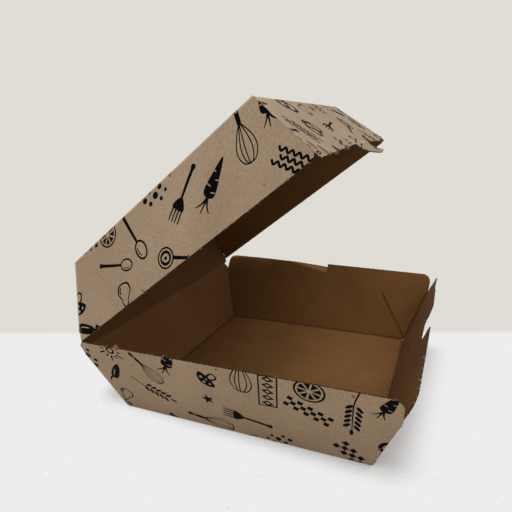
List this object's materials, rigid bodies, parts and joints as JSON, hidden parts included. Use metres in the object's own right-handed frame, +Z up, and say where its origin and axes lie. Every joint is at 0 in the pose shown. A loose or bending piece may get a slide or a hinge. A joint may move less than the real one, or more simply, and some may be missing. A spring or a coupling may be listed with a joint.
{
  "type": "takeaway box",
  "caption": "Square kraft card takeaway box with sloping walls, an integral hinged lid and a hooked lock tongue; lid stands open.",
  "frame": {"origin": "centre of the flat underside of the tray, on the surface that it stands on", "axes": "+Z up, +X to the right seen from the open front, +Y from the open front towards the hinge; -Y is the front with the lock notch"},
  "size_m": [0.1418, 0.1483, 0.1338],
  "materials": {
    "kraft_card": "uncoated kraft card, black print outside, plain brown inside"
  },
  "bodies": {
    "tray": {"tray": "kraft_card"},
    "lid": {"lid": "kraft_card"}
  },
  "joints": [
    {"name": "lid_hinge", "type": "hinge", "parent": "tray", "child": "lid", "pos_m": [0, 0.06577, 0.0344], "axis": [-1, 0, 0], "range_deg": [-36.4, 143.6]}
  ]
}
